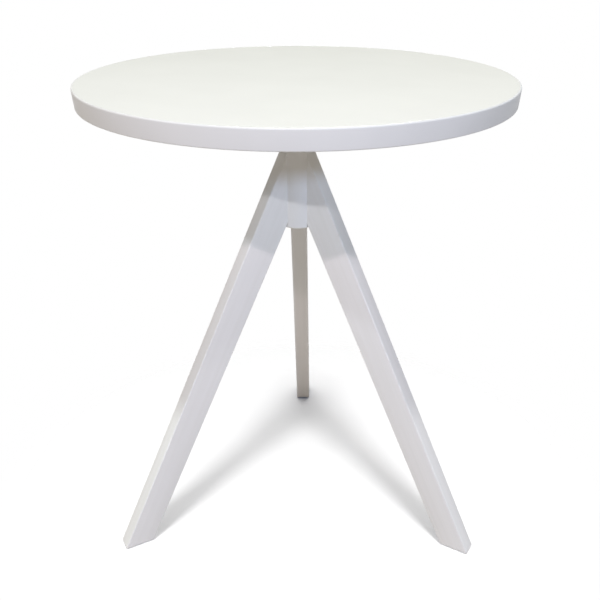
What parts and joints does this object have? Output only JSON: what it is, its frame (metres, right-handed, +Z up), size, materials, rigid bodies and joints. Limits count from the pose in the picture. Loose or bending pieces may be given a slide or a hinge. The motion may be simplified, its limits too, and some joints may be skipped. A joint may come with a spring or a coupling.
{
  "type": "tripod table",
  "caption": "White round-topped table on a turned centre post with splayed plank legs, for standing on a floor and setting things on.",
  "frame": {"origin": "on the floor, under the axis of the centre post and the round top", "axes": "+Z up along the post's axis, +Y towards the rear leg, so the two front legs stand on the -Y side"},
  "size_m": [0.6495, 0.6588, 0.75],
  "materials": {
    "white_laminate": "warm white decorative laminate, fine matt texture",
    "white_backer": "plain white balancing sheet, matt",
    "white_edge_band": "white solid-coloured edge band, satin",
    "particle_board": "raw pressed wood chips",
    "white_lacquered_wood": "satin white lacquer on beech, faint grain showing",
    "beech": "fluted raw beech",
    "white_painted_steel": "white powder coat, fine orange peel",
    "zinc_steel": "bright zinc plate",
    "nylon": "pale grey nylon, matt"
  },
  "bodies": {
    "root": {"tabletop_core": "particle_board", "tabletop_laminate": "white_laminate", "tabletop_backer": "white_backer", "tabletop_edge_band": "white_edge_band", "threaded_inserts": "zinc_steel", "mounting_plate": "white_painted_steel", "plate_boss": "zinc_steel", "plate_bolts": "zinc_steel", "plate_screws": "zinc_steel", "centre_bolt": "zinc_steel", "centre_washer": "zinc_steel", "centre_post": "white_lacquered_wood", "leg_front_left": "white_lacquered_wood", "leg_front_right": "white_lacquered_wood", "leg_rear": "white_lacquered_wood", "leg_dowels": "beech", "glide_front_left": "nylon", "glide_front_right": "nylon", "glide_rear": "nylon", "glide_nails": "zinc_steel"}
  },
  "joints": []
}
